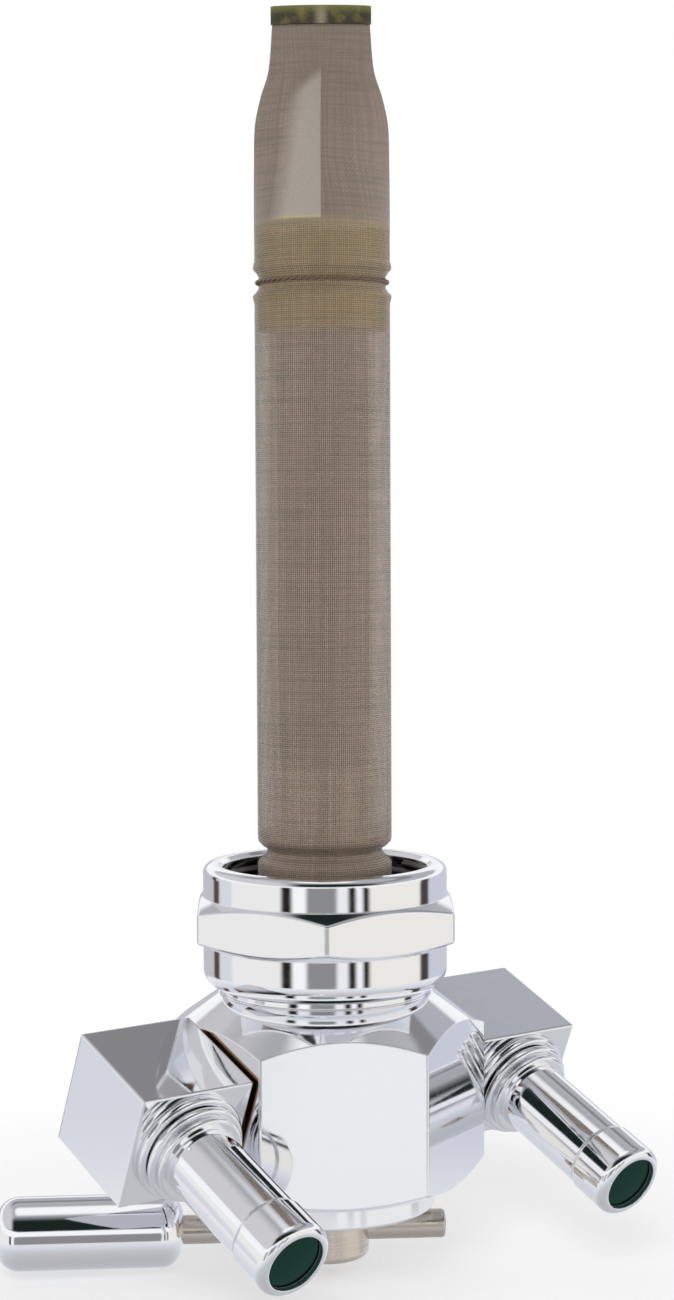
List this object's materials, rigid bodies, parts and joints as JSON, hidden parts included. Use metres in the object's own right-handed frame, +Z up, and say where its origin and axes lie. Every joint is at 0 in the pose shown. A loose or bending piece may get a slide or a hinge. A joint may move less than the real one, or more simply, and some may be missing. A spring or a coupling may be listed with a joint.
{
  "type": "fuel tap",
  "caption": "Hexagonal fuel tap with a round-collared union nut, a tall mesh filter folded shut on top, square side outlets with sloping hose spigots and a cross-rod lever below.",
  "frame": {"origin": "centre of the union nut's mouth, on the axis of the tank thread", "axes": "+Z up along the tank thread and the filter, X along the two outlets, spigots towards -Y and down"},
  "size_m": [0.0598, 0.0473, 0.1345],
  "materials": {
    "chrome": "mirror chrome plate on machined brass",
    "satin_steel": "satin turned steel",
    "dark_steel": "blackened steel",
    "spring_steel": "ground spring steel",
    "brass": "machined brass",
    "rubber": "fuel-proof rubber",
    "fibre": "dark sealing fibre",
    "woven_screen": "fine woven bronze wire cloth, dulled",
    "end_seal": "dark sealing resin",
    "tie_wire": "dull brass wire"
  },
  "bodies": {
    "tap": {"base_bushing": "brass", "bottom_cap": "chrome", "detent_ball": "spring_steel", "detent_spring": "spring_steel", "filter_screen": "woven_screen", "left_hose_spigot": "chrome", "left_outlet_block": "chrome", "left_outlet_stub": "brass", "left_outlet_washer": "fibre", "main_standpipe": "brass", "port_seal": "rubber", "right_hose_spigot": "chrome", "right_outlet_block": "chrome", "right_outlet_stub": "brass", "right_outlet_washer": "fibre", "screen_end_seal": "end_seal", "screen_tie_wire": "tie_wire", "stem_o_ring": "rubber", "tank_gasket": "rubber", "thrust_washer": "spring_steel", "top_bushing": "brass", "valve_body": "chrome"},
    "lever": {"valve_rotor": "satin_steel", "rotor_o_ring": "rubber", "lever_rod": "satin_steel", "lever_knob": "chrome", "lever_set_screw": "dark_steel"},
    "nut": {"union_nut": "chrome"}
  },
  "joints": [
    {"name": "lever_turn", "type": "hinge", "parent": "tap", "child": "lever", "pos_m": [0, 0, -0.03975], "axis": [0, 0, 1], "range_deg": [-120, 0]},
    {"name": "union_nut_turn", "type": "hinge", "parent": "tap", "child": "nut", "pos_m": [0, 0, -0.0066], "axis": [0, 0, 1], "continuous": true}
  ]
}
